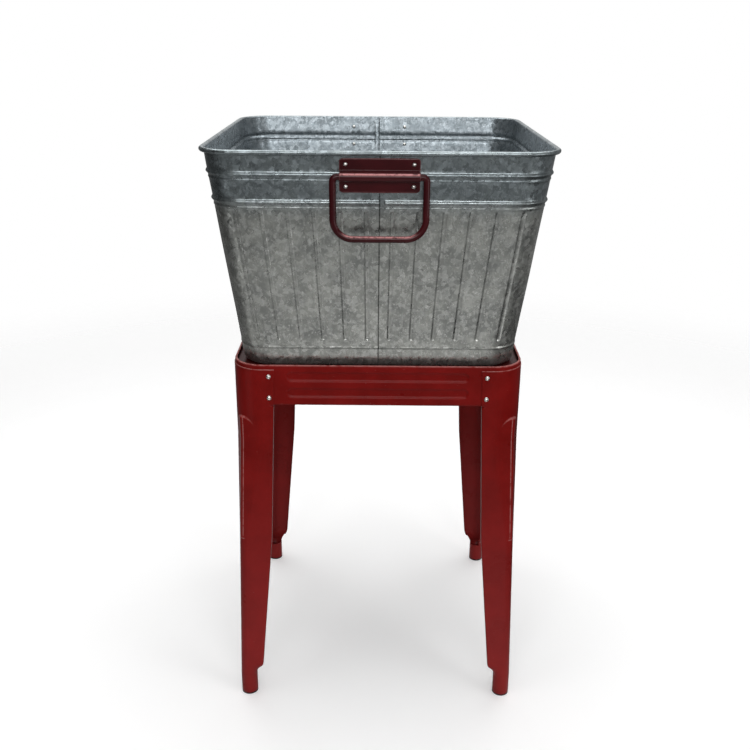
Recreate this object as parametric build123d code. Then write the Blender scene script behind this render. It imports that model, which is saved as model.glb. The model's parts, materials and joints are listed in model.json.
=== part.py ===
from build123d import *
import math
import os

# A square galvanised wash tub that drops into a four-legged pressed-steel stand.
# Millimetres, +Z up. The origin is on the floor under the middle of the stand, and -Y is the front.
# "Half" means from the middle to an outer face, and "corner" is a rounded corner's outer radius.

# ---- Driving dimensions: stand -------------------------------------------------------------
STAND_SHEET = 1.2
APRON_TOP = 597.3  # height of the apron band's top edge above the floor
APRON_HEIGHT = 63.4
APRON_ROOM = 13.7  # how far the apron stands outside the tub's base
APRON_CORNER = 45.9
APRON_LIP = 3.0  # lip turned in along the apron's top edge
CHANNEL_MARGIN = 18.6  # leg's inner edge to the end of each pressed channel along the apron
CHANNEL_WIDTH = 15.6
CHANNEL_DEPTH = 2.2
CHANNEL_DROPS = (18.6, 44.5)  # apron top edge to each channel's middle

SEAT_DROP = 5.4  # apron top edge to the ledge that carries the tub
SEAT_SHEET = 1.5
SEAT_UNDER_TUB = 23.55  # how far the ledge reaches in under the tub's wall
SEAT_SKIRT = 18.0

LEG_DROP = 7.0  # apron top edge to the leg's top edge
LEG_WIDTH_TOP = 64.85  # leg's upper corner to its inner edge, at its top
LEG_WIDTH_APRON = 62.95  # the same at the apron's bottom edge
LEG_WIDTH_BEND = 52.95  # the same where the leg starts to lean out
LEG_WIDTH_NOTCH = 30.95  # the same at the top of the notch
LEG_BEND_Z = 300.0
LEG_FLARE = 7.7  # how far the foot stands out beyond the leg's upper part
LEG_RETURN = 8.0  # depth of the edges turned in along each leg
NOTCH_TOP = 53.0
NOTCH_BOTTOM = 37.0
NOTCH_CUT = 9.0
CORNER_TAPER_DROP = 61.9  # apron bottom edge to where the leg's corner starts to tighten
ARCH_DROP = 22.9  # the same to the crown of the arched panel, pressed out to a ridge on the corner
RIDGE_TURN = math.radians(28)  # each side of the ridge leaves the corner's arc this far from the diagonal

FOOT_RADIUS = 13.6
PLUG_FLANGE = 2.6  # the part of the plug that stands on the floor
PLUG_DEPTH = 16.0
PLUG_CHAMFER = 0.6

SCREW_INSET = 8.4  # leg's inner edge, at its top, to the screws' middles
SCREW_DROPS = (18.3, 52.7)  # apron top edge to each row of screws
SCREW_RADIUS = 2.0
SCREW_HEAD_RADIUS = 3.8
SCREW_HEAD_HEIGHT = 2.2
SCREW_TAIL = 1.0  # thread standing past the nut
SOCKET_WIDTH = 2.5  # across flats
SOCKET_DEPTH = 1.3
NUT_WIDTH = 7.0  # across flats
NUT_HEIGHT = 3.2

# ---- Driving dimensions: tub ---------------------------------------------------------------
TUB_SHEET = 0.6
TUB_HEIGHT = 325.6  # underside of the tub to the top of its rim
RIM_HALF = 254.0
RIM_CORNER = 57.0
RIM_ROLL = 7.0  # diameter of the rolled edge
BASE_HALF = 206.5
BASE_CORNER = 46.0
BASE_EDGE = 7.0  # radius of the wall's turned-in lower edge
BASE_LIP = 8.0  # width of the lip under the bottom pan
BEAD_DROPS = (34.0, 72.8)  # rim top to each bead
BEAD_WIDTH = 8.0
BEAD_PROUD = 2.5
BASE_BEAD_RISE = 30.8  # underside of the tub to the small bead
BASE_BEAD_WIDTH = 5.0
BASE_BEAD_PROUD = 1.3
SEAM_WIDTH = 7.0  # folded strip at each seam
SEAM_MARGIN = 1.5
FLUTES = 12  # pressed flutes on each side of the tub
FLUTE_WIDTH = 7.0
FLUTE_DEPTH = 1.2
FLUTE_PITCH_TOP = 0.1555  # between their upper ends, as a share of the wall's half width there
FLUTE_PITCH_BASE = 0.1538  # the same between their lower ends
FLUTE_DROP = 84.5  # rim top to the flutes' upper ends
FLUTE_RISE = 43.0  # underside of the tub to their lower ends
PAN_UPSTAND = 12.0

PLATE_WIDTH = 110.4
PLATE_HEIGHT = 47.6
PLATE_CORNER = 4.0
PLATE_SHEET = 1.5
BAIL_ROD = 4.75  # radius
BAIL_OUTSIDE_PLATE = 14.15  # end of the plate to the outside of the bail
BAIL_DROP = 86.0  # pivot to the middle of the grip
BAIL_SHOULDER = 6.5  # radius of the rod's middle line beside the barrel
BAIL_BEND = 28.0  # the same at each end of the grip
BAIL_INSERT = 12.0  # rod inside each end of the barrel
BAIL_CLEAR = 0.55  # between the rod and the upper bead behind it
RIVET_INSET = 8.2  # rivets to the ends of the plate
RIVET_MARGIN = 8.3  # rivets to the plate's upper and lower edges
RIVET_RADIUS = 2.0
RIVET_HEAD_RADIUS = 3.1
RIVET_HEAD_HEIGHT = 1.7

# ---- Clearances and how shapes are cut ------------------------------------------------------
TOUCH = 0.05  # between pieces that are fastened together
FREE = 0.35  # between pieces that move past each other
PAST = 1.0  # how far a cutting shape runs past the surface it opens
FLANK = 0.8  # a pressed channel's side runs in by this share of its depth
EDGE_STEPS = 4  # flat-sided stretches round the tub's lower edge
SUNK = 0.98  # a ridge's sides start at this share of the corner's radius, just under its arc

# ---- What follows from them ----------------------------------------------------------------
REACH = 2 * RIM_HALF  # past the outside of everything
APRON_HALF = BASE_HALF + APRON_ROOM
APRON_BOTTOM = APRON_TOP - APRON_HEIGHT
SEAT_HALF = APRON_HALF - STAND_SHEET - TOUCH
SEAT_CORNER = APRON_CORNER - STAND_SHEET - TOUCH
SEAT_WIDTH = SEAT_HALF - BASE_HALF + SEAT_UNDER_TUB
LEG_TOP = APRON_TOP - LEG_DROP
LEG_HALF = APRON_HALF + TOUCH + STAND_SHEET
LEG_CORNER = APRON_CORNER + TOUCH + STAND_SHEET
LEG_EDGE_TOP = LEG_HALF - LEG_WIDTH_TOP
SCREW_FROM_MIDDLE = LEG_EDGE_TOP + SCREW_INSET
CHANNEL_LENGTH = 2 * (LEG_EDGE_TOP - CHANNEL_MARGIN)
FOOT_HALF = LEG_HALF + LEG_FLARE
FOOT_MIDDLE = FOOT_HALF - FOOT_RADIUS
CORNER_TAPER_TOP = APRON_BOTTOM - CORNER_TAPER_DROP
ARCH_TOP = APRON_BOTTOM - ARCH_DROP
ARCH_HALF_WIDTH = LEG_CORNER * math.sin(RIDGE_TURN)
ARCH_SPRING = ARCH_TOP - ARCH_HALF_WIDTH
SEAT_TOP = APRON_TOP - SEAT_DROP
TUB_BASE = SEAT_TOP + TOUCH
RIM_TOP = TUB_BASE + TUB_HEIGHT
ROLL_Z = RIM_TOP - RIM_ROLL / 2
ROLL_BORE = RIM_ROLL / 2 - TUB_SHEET
WALL_TOP_HALF = RIM_HALF - RIM_ROLL + TUB_SHEET
WALL_TOP_CORNER = RIM_CORNER - RIM_ROLL + TUB_SHEET
WALL_SLOPE = (WALL_TOP_HALF - BASE_HALF) / (ROLL_Z - TUB_BASE)
WALL_TILT = math.atan(WALL_SLOPE)
BEAD_HEIGHTS = [RIM_TOP - drop for drop in BEAD_DROPS]
PIVOT_Z = BEAD_HEIGHTS[0]  # the barrel bridges the upper bead
BAIL_STAND_OFF = BEAD_PROUD + BAIL_CLEAR + BAIL_ROD  # tub wall to the pivot
BAIL_WIDTH = PLATE_WIDTH + 2 * BAIL_OUTSIDE_PLATE  # outside to outside
RIVET_X = PLATE_WIDTH / 2 - RIVET_INSET
RIVET_ROW = PLATE_HEIGHT / 2 - RIVET_MARGIN  # pivot to each row of rivets, along the wall


def wall_half(z):
    """Half width of the tub's plain wall at height z."""
    return BASE_HALF + WALL_SLOPE * (z - TUB_BASE)


def wall_corner(z):
    """Corner radius of the tub's plain wall at height z."""
    return BASE_CORNER + (WALL_TOP_CORNER - BASE_CORNER) * (z - TUB_BASE) / (ROLL_Z - TUB_BASE)


def wall_turn(x, z):
    """How far round its corner the front wall has turned at distance x from the middle, in radians."""
    into_corner = abs(x) - (wall_half(z) - wall_corner(z))
    return math.copysign(math.asin(max(into_corner, 0) / wall_corner(z)), x)


def wall_point(x, z):
    """A point on the outer face of the front wall or of its corners."""
    return Vector(x, -wall_half(z) + wall_corner(z) * (1 - math.cos(wall_turn(x, z))), z)


def wall_plane(x, z):
    """Plane on the front wall: local X along +X, local Y up the wall, local Z straight out of it."""
    outward = (0, -math.cos(WALL_TILT), -math.sin(WALL_TILT))
    return Plane(origin=wall_point(x, z), x_dir=(1, 0, 0), z_dir=outward)


# ---- Shared shapes -------------------------------------------------------------------------
def rounded_square(half, radius, z):
    """A level square face with rounded corners."""
    return (Plane.XY.offset(z) * RectangleRounded(2 * half, 2 * half, radius)).face()


def stack(stations):
    """Solid with flat-sided stretches between (height, half width, corner radius) stations."""
    return loft([rounded_square(half, radius, z) for z, half, radius in stations], ruled=True)


def inset(stations, by):
    """The same stations, moved in by a thickness."""
    return [(z, half - by, radius - by) for z, half, radius in stations]


def channel(plane, length, width, depth, grow=0.0):
    """Round-ended pressed channel along the plane's X axis, sunk below the plane.

    grow makes it larger all round, for the back of the same channel.
    """
    flank = FLANK * depth
    mouth = SlotOverall(length + 2 * (PAST + grow), width + 2 * (PAST + grow))
    floor = SlotOverall(length + 2 * (grow - flank), width + 2 * (grow - flank))
    mouth_face = (plane.offset(PAST) * mouth).face()
    floor_face = (plane.offset(-depth - grow) * floor).face()
    return loft([mouth_face, floor_face], ruled=True)


def cut_each_side(body, cuts):
    """Body with the front side's cuts made in all four sides."""
    for turn in range(4):
        body = Rot(0, 0, 90) * (body - cuts)
    return body


def dome(radius, height):
    """Low round head on the XY plane."""
    ball = (radius**2 + height**2) / (2 * height)
    return Pos(0, 0, height - ball) * Sphere(ball) & Pos(0, 0, height) * Box(2 * ball, 2 * ball, 2 * height)


def hexagon(across_flats):
    return RegularPolygon(across_flats / 2, 6, major_radius=False)


# ---- Stand ---------------------------------------------------------------------------------
def make_apron():
    """Band with two pressed channels on each side and a lip along its top edge."""
    outer = [(APRON_BOTTOM, APRON_HALF, APRON_CORNER), (APRON_TOP, APRON_HALF, APRON_CORNER)]
    band = stack(outer)
    hollow = stack(inset(outer, STAND_SHEET))
    cuts = []
    backs = []
    for drop in CHANNEL_DROPS:
        plane = Plane(origin=(0, -APRON_HALF, APRON_TOP - drop), x_dir=(1, 0, 0), z_dir=(0, -1, 0))
        cuts.append(channel(plane, CHANNEL_LENGTH, CHANNEL_WIDTH, CHANNEL_DEPTH))
        backs.append(channel(plane, CHANNEL_LENGTH, CHANNEL_WIDTH, CHANNEL_DEPTH, STAND_SHEET))
    band = cut_each_side(band, cuts) - cut_each_side(hollow, backs)
    lip_stations = [(APRON_TOP - STAND_SHEET, APRON_HALF, APRON_CORNER), (APRON_TOP, APRON_HALF, APRON_CORNER)]
    lip = stack(lip_stations) - stack(inset(lip_stations, APRON_LIP))
    return cut_each_side(band + lip, screw_holes())


def make_seat_frame():
    """Flat ledge, welded to the apron all round its outer edge and turned down along its inner edge."""
    top = (SEAT_TOP, SEAT_HALF, SEAT_CORNER)
    ledge = stack([(SEAT_TOP - SEAT_SHEET, SEAT_HALF, SEAT_CORNER), top])
    skirt = inset([(SEAT_TOP - SEAT_SKIRT, SEAT_HALF, SEAT_CORNER), top], SEAT_WIDTH - SEAT_SHEET)
    return ledge + stack(skirt) - stack(inset(skirt, SEAT_SHEET))


def screw_planes():
    """Planes on the front right leg, at each of its screws, with local Z pointing out."""
    planes = []
    for drop in SCREW_DROPS:
        z = APRON_TOP - drop
        planes.append(Plane(origin=(SCREW_FROM_MIDDLE, -LEG_HALF, z), x_dir=(1, 0, 0), z_dir=(0, -1, 0)))
        planes.append(Plane(origin=(LEG_HALF, -SCREW_FROM_MIDDLE, z), x_dir=(0, 1, 0), z_dir=(1, 0, 0)))
    return planes


def screw_holes():
    hole = Cylinder(SCREW_RADIUS + TOUCH, 6 * STAND_SHEET)
    return [plane.location * hole for plane in screw_planes()]


def leg_envelope(by):
    """Outside of all four legs together, moved in by a thickness."""
    stations = [
        (NOTCH_BOTTOM, FOOT_HALF, FOOT_RADIUS),
        (LEG_BEND_Z, LEG_HALF, FOOT_RADIUS),
        (CORNER_TAPER_TOP, LEG_HALF, LEG_CORNER),
        (LEG_TOP, LEG_HALF, LEG_CORNER),
    ]
    return stack(inset(stations, by))


def ridge(by):
    """Wedge along the front right corner, whose sides leave the corner's arc to meet at the ridge."""
    faces = []
    for z, corner in ((LEG_BEND_Z, FOOT_RADIUS), (CORNER_TAPER_TOP, LEG_CORNER), (LEG_TOP, LEG_CORNER)):
        radius = corner - by
        centre = Vector(LEG_HALF - corner, corner - LEG_HALF, z)
        outward = Vector(math.sqrt(0.5), -math.sqrt(0.5), 0)
        side = outward.rotate(Axis.Z, math.degrees(RIDGE_TURN)) * radius * SUNK
        other_side = outward.rotate(Axis.Z, -math.degrees(RIDGE_TURN)) * radius * SUNK
        apex = outward * (radius / math.cos(RIDGE_TURN))
        corners = (centre, centre + other_side, centre + apex, centre + side)
        faces.append(make_face(Polyline(*corners, close=True)).face())
    return loft(faces, ruled=True)


def arch_prism(by):
    """Arched panel's outline, carried out along the front right diagonal."""
    plane = Plane(origin=(0, 0, 0), x_dir=(1, 1, 0), z_dir=(1, -1, 0))
    half = ARCH_HALF_WIDTH - by
    bottom = LEG_BEND_Z + by
    round_top = Pos(0, ARCH_SPRING) * Circle(half)
    straight = Pos(0, (ARCH_SPRING + bottom) / 2) * Rectangle(2 * half, ARCH_SPRING - bottom)
    return extrude(plane * (round_top + straight), REACH)


def leg_form(by):
    """Outside of the legs, with the front right one's arched panel drawn out to its ridge."""
    return leg_envelope(by) + (ridge(by) & arch_prism(by))


def leg_block(by):
    """Everything beyond the front right leg's inner edges."""
    faces = []
    for z, width in (
        (NOTCH_BOTTOM, LEG_WIDTH_NOTCH - NOTCH_CUT),
        (NOTCH_TOP, LEG_WIDTH_NOTCH),
        (LEG_BEND_Z, LEG_WIDTH_BEND),
        (APRON_BOTTOM, LEG_WIDTH_APRON),
        (LEG_TOP, LEG_WIDTH_TOP),
    ):
        edge = LEG_HALF - width + by
        side = REACH - edge
        middle = (REACH + edge) / 2
        faces.append((Plane.XY.offset(z) * Pos(middle, -middle) * Rectangle(side, side)).face())
    return loft(faces, ruled=True)


def make_leg():
    """Front right leg: an angle of pressed sheet, turned in along its edges, on a tubular foot."""
    sheet = (leg_form(0) - leg_form(STAND_SHEET)) & leg_block(0)
    plain = leg_envelope(0) - leg_envelope(LEG_RETURN)
    edges = leg_block(0) - leg_block(STAND_SHEET)
    height = APRON_BOTTOM - STAND_SHEET - NOTCH_TOP
    below_apron = Pos(0, 0, NOTCH_TOP + height / 2) * Box(2 * REACH, 2 * REACH, height)
    returns = edges & plain & below_apron
    foot = Cylinder(FOOT_RADIUS, NOTCH_BOTTOM - PLUG_FLANGE) - Cylinder(FOOT_RADIUS - STAND_SHEET, NOTCH_BOTTOM)
    foot = Pos(FOOT_MIDDLE, -FOOT_MIDDLE, (NOTCH_BOTTOM + PLUG_FLANGE) / 2) * foot
    return sheet + returns + foot - screw_holes()


def make_plug():
    """Front right foot's plug: a flange under the foot and a body inside it."""
    flange = Pos(0, 0, PLUG_FLANGE / 2) * Cylinder(FOOT_RADIUS, PLUG_FLANGE)
    flange = chamfer(flange.edges().group_by(Axis.Z)[0], PLUG_CHAMFER)
    body_radius = FOOT_RADIUS - STAND_SHEET - TOUCH
    body = Pos(0, 0, PLUG_FLANGE + PLUG_DEPTH / 2) * Cylinder(body_radius, PLUG_DEPTH)
    return Pos(FOOT_MIDDLE, -FOOT_MIDDLE) * (flange + body)


def make_screw():
    """Button-head screw: local Z = 0 is the leg's outer face."""
    length = 2 * STAND_SHEET + TOUCH + NUT_HEIGHT + SCREW_TAIL
    shank = Pos(0, 0, -length / 2) * Cylinder(SCREW_RADIUS, length)
    socket = Pos(0, 0, SCREW_HEAD_HEIGHT - SOCKET_DEPTH) * extrude(hexagon(SOCKET_WIDTH), SOCKET_DEPTH)
    return dome(SCREW_HEAD_RADIUS, SCREW_HEAD_HEIGHT) + shank - socket


def make_nut():
    """Nut against the apron's inner face, in the screw's frame."""
    nut = extrude(hexagon(NUT_WIDTH) - Circle(SCREW_RADIUS + TOUCH), NUT_HEIGHT)
    return Pos(0, 0, -2 * STAND_SHEET - TOUCH - NUT_HEIGHT) * nut


# ---- Tub -----------------------------------------------------------------------------------
def edge_stations(by):
    """Stations round the tub wall's turned-in lower edge, moved in by a thickness."""
    stations = []
    for step in range(EDGE_STEPS + 1):
        angle = math.radians(90 * step / EDGE_STEPS)
        z = TUB_BASE + by + (BASE_EDGE - by) * (1 - math.cos(angle))
        inward = by + (BASE_EDGE - by) * (1 - math.sin(angle))
        stations.append((z, wall_half(z) - inward, wall_corner(z) - inward))
    return stations


def wall_stations(by):
    """Stations of the tub wall's outer face, or of its inner face when by is the sheet."""
    stations = edge_stations(by)
    beads = [(TUB_BASE + BASE_BEAD_RISE, BASE_BEAD_WIDTH, BASE_BEAD_PROUD)]
    beads += [(z, BEAD_WIDTH, BEAD_PROUD) for z in reversed(BEAD_HEIGHTS)]
    for middle, width, proud in beads:
        for place in (-1, -0.6, 0, 0.6, 1):
            z = middle + place * width / 2
            out = proud * (1 - place**2) - by
            stations.append((z, wall_half(z) + out, wall_corner(z) + out))
    stations.append((ROLL_Z, wall_half(ROLL_Z) - by, wall_corner(ROLL_Z) - by))
    return stations


def rim_ring(radius):
    """Round ring along the middle of the rolled edge."""
    path = Plane.XY.offset(ROLL_Z) * RectangleRounded(
        2 * RIM_HALF - RIM_ROLL, 2 * RIM_HALF - RIM_ROLL, RIM_CORNER - RIM_ROLL / 2
    )
    path = path.wire()
    start = Plane(origin=path.position_at(0), z_dir=path.tangent_at(0))
    return sweep((start * Circle(radius)).face(), path=path)


def flutes(grow):
    """Front side's flutes, which fan out with the taper of the wall. The outer two are on its corners."""
    low = TUB_BASE + FLUTE_RISE
    high = RIM_TOP - FLUTE_DROP
    shapes = []
    for number in range(FLUTES):
        place = number - (FLUTES - 1) / 2
        foot = wall_point(place * FLUTE_PITCH_BASE * wall_half(low), low)
        head = wall_point(place * FLUTE_PITCH_TOP * wall_half(high), high)
        along = (head - foot).normalized()
        turn = wall_turn(head.X, high)
        level = Vector(math.sin(turn), -math.cos(turn), 0)
        plane = Plane(origin=(foot + head) / 2, x_dir=along, z_dir=level - along * level.dot(along))
        shapes.append(channel(plane, (head - foot).length, FLUTE_WIDTH, FLUTE_DEPTH, grow))
    return shapes


def rivet_planes():
    """Planes on the front wall at each rivet of the handle plate."""
    centre = wall_plane(0, PIVOT_Z)
    return [centre * Pos(x, v, 0) for x in (-RIVET_X, RIVET_X) for v in (-RIVET_ROW, RIVET_ROW)]


def make_wall_right():
    """Right half of the wall, which carries the folded strip of the front seam."""
    inner = wall_stations(TUB_SHEET)
    top_z, top_half, top_corner = inner[-1]
    inner.append((top_z + PAST, top_half + WALL_SLOPE * PAST, top_corner))
    wall = cut_each_side(stack(wall_stations(0)), flutes(0)) - cut_each_side(stack(inner), flutes(TUB_SHEET))
    mouth_half = BASE_HALF - BASE_EDGE - BASE_LIP
    mouth_corner = BASE_CORNER - BASE_EDGE - BASE_LIP
    mouth = stack([(TUB_BASE - PAST, mouth_half, mouth_corner), (TUB_BASE + PAST, mouth_half, mouth_corner)])
    wall = wall - mouth + rim_ring(RIM_ROLL / 2) - rim_ring(ROLL_BORE)
    low = TUB_BASE + PAN_UPSTAND + SEAM_MARGIN
    high = ROLL_Z - RIM_ROLL / 2 - SEAM_MARGIN
    slot = Pos(0, -REACH / 2, (low + high) / 2) * Box(2 * SEAM_WIDTH, REACH, high - low)
    strip_outline = Plane.YZ * Polygon(
        (-wall_half(low), low),
        (-wall_half(high), high),
        (-wall_half(high) + 2 * TUB_SHEET, high),
        (-wall_half(low) + 2 * TUB_SHEET, low),
        align=None,
    )
    strip = extrude(strip_outline, SEAM_WIDTH, dir=(1, 0, 0))
    right_side = Pos(REACH / 2, 0, RIM_TOP / 2) * Box(REACH, 2 * REACH, 2 * RIM_TOP)
    hole = Cylinder(RIVET_RADIUS + TOUCH, 6 * TUB_SHEET)
    holes = [location * hole for location in rivet_planes()]
    holes += [Rot(0, 0, 180) * hole for hole in holes]
    return ((wall & right_side) - slot + strip) - holes


def make_pan():
    """Tub's bottom: a shallow pan that stands on the wall's lip."""
    gap = TUB_SHEET + TOUCH
    high = TUB_BASE + TOUCH + PAN_UPSTAND
    stations = edge_stations(gap)
    stations.append((high, wall_half(high) - gap, wall_corner(high) - gap))
    hollow = [(z + TUB_SHEET, half - TUB_SHEET, corner - TUB_SHEET) for z, half, corner in stations]
    return stack(stations) - stack(hollow)


def make_plate():
    """Front handle plate, with a half-round barrel pressed out across its middle."""
    wall = wall_plane(0, PIVOT_Z)
    profile_plane = Plane(origin=wall.origin, x_dir=wall.y_dir, z_dir=wall.x_dir)
    bore = BAIL_ROD + FREE
    shell = bore + PLATE_SHEET
    flange = Pos(0, TOUCH + PLATE_SHEET / 2) * Rectangle(PLATE_HEIGHT, PLATE_SHEET)
    cheek_height = BAIL_STAND_OFF - TOUCH
    outside = Pos(0, TOUCH + cheek_height / 2) * Rectangle(2 * shell, cheek_height)
    outside += Pos(0, BAIL_STAND_OFF) * Circle(shell)
    inside = Pos(0, BAIL_STAND_OFF / 2) * Rectangle(2 * bore, BAIL_STAND_OFF)
    inside += Pos(0, BAIL_STAND_OFF) * Circle(bore)
    plate = extrude(profile_plane * (flange + outside - inside), PLATE_WIDTH / 2, both=True)
    outline = extrude(wall * RectangleRounded(PLATE_WIDTH, PLATE_HEIGHT, PLATE_CORNER), 2 * BAIL_STAND_OFF)
    hole = Cylinder(RIVET_RADIUS + TOUCH, 6 * PLATE_SHEET)
    return (plate & outline) - [location * hole for location in rivet_planes()]


def make_rivets():
    """Four rivets through the front handle plate and the tub wall, headed on both sides."""
    grip = TOUCH + PLATE_SHEET
    length = grip + TUB_SHEET
    shank = Pos(0, 0, grip - length / 2) * Cylinder(RIVET_RADIUS, length)
    head = Pos(0, 0, grip) * dome(RIVET_HEAD_RADIUS, RIVET_HEAD_HEIGHT)
    tail = Pos(0, 0, -TUB_SHEET) * Rot(180, 0, 0) * dome(RIVET_HEAD_RADIUS, RIVET_HEAD_HEIGHT)
    rivet = head + shank + tail
    return Compound([location * rivet for location in rivet_planes()])


def make_bail():
    """Front bail handle, hanging from the two ends of the barrel."""
    pivot = wall_plane(0, PIVOT_Z).offset(BAIL_STAND_OFF).origin
    side = BAIL_WIDTH / 2 - BAIL_ROD
    end = PLATE_WIDTH / 2 - BAIL_INSERT
    points = [(-end, 0), (-side, 0), (-side, -BAIL_DROP), (side, -BAIL_DROP), (side, 0), (end, 0)]
    line = FilletPolyline(*points, radius=[BAIL_SHOULDER, BAIL_BEND, BAIL_BEND, BAIL_SHOULDER])
    line = (Plane(origin=pivot, x_dir=(1, 0, 0), z_dir=(0, -1, 0)) * line).wire()
    start = Plane(origin=line.position_at(0), z_dir=line.tangent_at(0))
    return sweep((start * Circle(BAIL_ROD)).face(), path=line)


# ---- Every node ----------------------------------------------------------------------------
def build():
    """Solid or group of solids for every node, by name."""
    nodes = {"apron_band": make_apron(), "tub_seat_frame": make_seat_frame()}
    leg = make_leg()
    plug = make_plug()
    screws = [plane.location * make_screw() for plane in screw_planes()]
    nuts = [plane.location * make_nut() for plane in screw_planes()]
    for turn, place in enumerate(("front_right", "back_right", "back_left", "front_left")):
        turned = Rot(0, 0, 90 * turn)
        nodes["leg_" + place] = turned * leg
        nodes["foot_plug_" + place] = turned * plug
        nodes["leg_screws_" + place] = Compound([turned * screw for screw in screws])
        nodes["leg_nuts_" + place] = Compound([turned * nut for nut in nuts])
    wall = make_wall_right()
    plate = make_plate()
    rivets = make_rivets()
    bail = make_bail()
    half_turn = Rot(0, 0, 180)
    nodes["tub_wall_right"] = wall
    nodes["tub_wall_left"] = half_turn * wall
    nodes["rim_wire"] = rim_ring(ROLL_BORE - 2 * TOUCH)
    nodes["tub_bottom_pan"] = make_pan()
    nodes["handle_plate_front"] = plate
    nodes["handle_plate_back"] = half_turn * plate
    nodes["handle_rivets_front"] = rivets
    nodes["handle_rivets_back"] = half_turn * rivets
    nodes["bail_front"] = bail
    nodes["bail_back"] = half_turn * bail
    return nodes


os.makedirs("parts", exist_ok=True)
for name, shape in build().items():
    export_step(shape, "parts/" + name + ".step")
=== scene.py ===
import json
import math

import bpy
import numpy as np
from mathutils import Matrix, Vector


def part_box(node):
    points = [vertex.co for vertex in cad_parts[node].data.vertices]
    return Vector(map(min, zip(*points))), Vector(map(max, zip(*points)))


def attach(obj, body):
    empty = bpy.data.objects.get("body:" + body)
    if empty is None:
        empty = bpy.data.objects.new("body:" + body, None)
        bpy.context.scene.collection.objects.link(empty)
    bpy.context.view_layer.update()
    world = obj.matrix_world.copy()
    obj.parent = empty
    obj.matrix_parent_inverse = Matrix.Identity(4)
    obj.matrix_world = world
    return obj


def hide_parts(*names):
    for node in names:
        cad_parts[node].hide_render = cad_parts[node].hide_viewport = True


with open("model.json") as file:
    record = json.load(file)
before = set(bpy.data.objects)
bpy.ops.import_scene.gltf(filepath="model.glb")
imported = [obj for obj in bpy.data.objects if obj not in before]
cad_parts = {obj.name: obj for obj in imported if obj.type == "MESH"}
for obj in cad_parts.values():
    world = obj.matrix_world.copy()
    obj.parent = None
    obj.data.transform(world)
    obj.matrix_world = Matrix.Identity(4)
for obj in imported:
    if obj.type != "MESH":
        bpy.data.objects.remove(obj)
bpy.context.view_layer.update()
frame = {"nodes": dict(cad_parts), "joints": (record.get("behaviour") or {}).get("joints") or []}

# A square galvanised wash tub in a red pressed-steel stand. Metres, in the frame's axes: +Z up, -Y front.
# "Half" means from the middle to an outer face, and "corner" is a rounded corner's outer radius.
MM = 0.001

# ---- Sizes taken from the frame --------------------------------------------------------------
WALL_LOW, WALL_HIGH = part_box("tub_wall_right")
TUB_BASE = WALL_LOW.z
RIM_TOP = WALL_HIGH.z
RIM_HALF = WALL_HIGH.x
APRON_LOW, APRON_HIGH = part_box("apron_band")
APRON_TOP = APRON_HIGH.z
APRON_BOTTOM = APRON_LOW.z
APRON_HALF = APRON_HIGH.x
LEG_LOW, LEG_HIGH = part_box("leg_front_right")
LEG_TOP = LEG_HIGH.z
TUBE_LOW = LEG_LOW.z
FOOT_HALF = LEG_HIGH.x
PLATE_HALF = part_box("handle_plate_front")[1].x
BAIL_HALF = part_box("bail_front")[1].x
PIVOT = Vector(next(j for j in frame["joints"] if j["name"] == "front_handle_swing")["pos_m"])

# ---- Sizes of the tub ------------------------------------------------------------------------
TUB_SHEET = 0.6 * MM
ROLL_RADIUS = 3.5 * MM
RIM_CORNER = 57 * MM
BASE_HALF = 206.5 * MM
BASE_CORNER = 46 * MM
BASE_EDGE = 7 * MM
BASE_LIP = 8 * MM
BEAD_DROPS = (34 * MM, 72.8 * MM)
BEAD_REACH = 4.6 * MM
BEAD_PROUD = 2.5 * MM
RIDGE_BELOW_BEAD = 8.2 * MM
RIDGE_REACH = 2.6 * MM
RIDGE_PROUD = 0.7 * MM
BASE_BEAD_RISE = 30.8 * MM
BASE_BEAD_REACH = 3 * MM
BASE_BEAD_PROUD = 0.8 * MM
BASE_BAND_PROUD = 0.5 * MM
FLUTES = 12
FLUTE_REACH = 3.5 * MM
FLUTE_DEPTH = 1.2 * MM
FLUTE_PITCH_TOP = 36.9 * MM
FLUTE_PITCH_BASE = 32.6 * MM
FLUTE_DROP = 84.5 * MM
FLUTE_RISE = 43 * MM
SEAM_WIDTH = 7 * MM
SEAM_RISE = 14 * MM
SEAM_GROOVE = 0.8 * MM
ROLL_END = -148
ROLL_STEPS = 24
PAN_UPSTAND = 12 * MM
PAN_SAG = 0.9 * MM
CONTACT_GAP = 0.05 * MM

# ---- Sizes of the handles --------------------------------------------------------------------
PLATE_REACH = 23.8 * MM
PLATE_CORNER = 4 * MM
PLATE_SHEET = 1.5 * MM
PLATE_FILLET = 1.6 * MM
BARREL_RADIUS = 6.6 * MM
STAND_OFF = 7.8 * MM
BAIL_ROD = 4.75 * MM
BAIL_DROP = 86 * MM
BAIL_END = 43.2 * MM
BAIL_SHOULDER = 6.5 * MM
BAIL_BEND = 28 * MM

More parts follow.
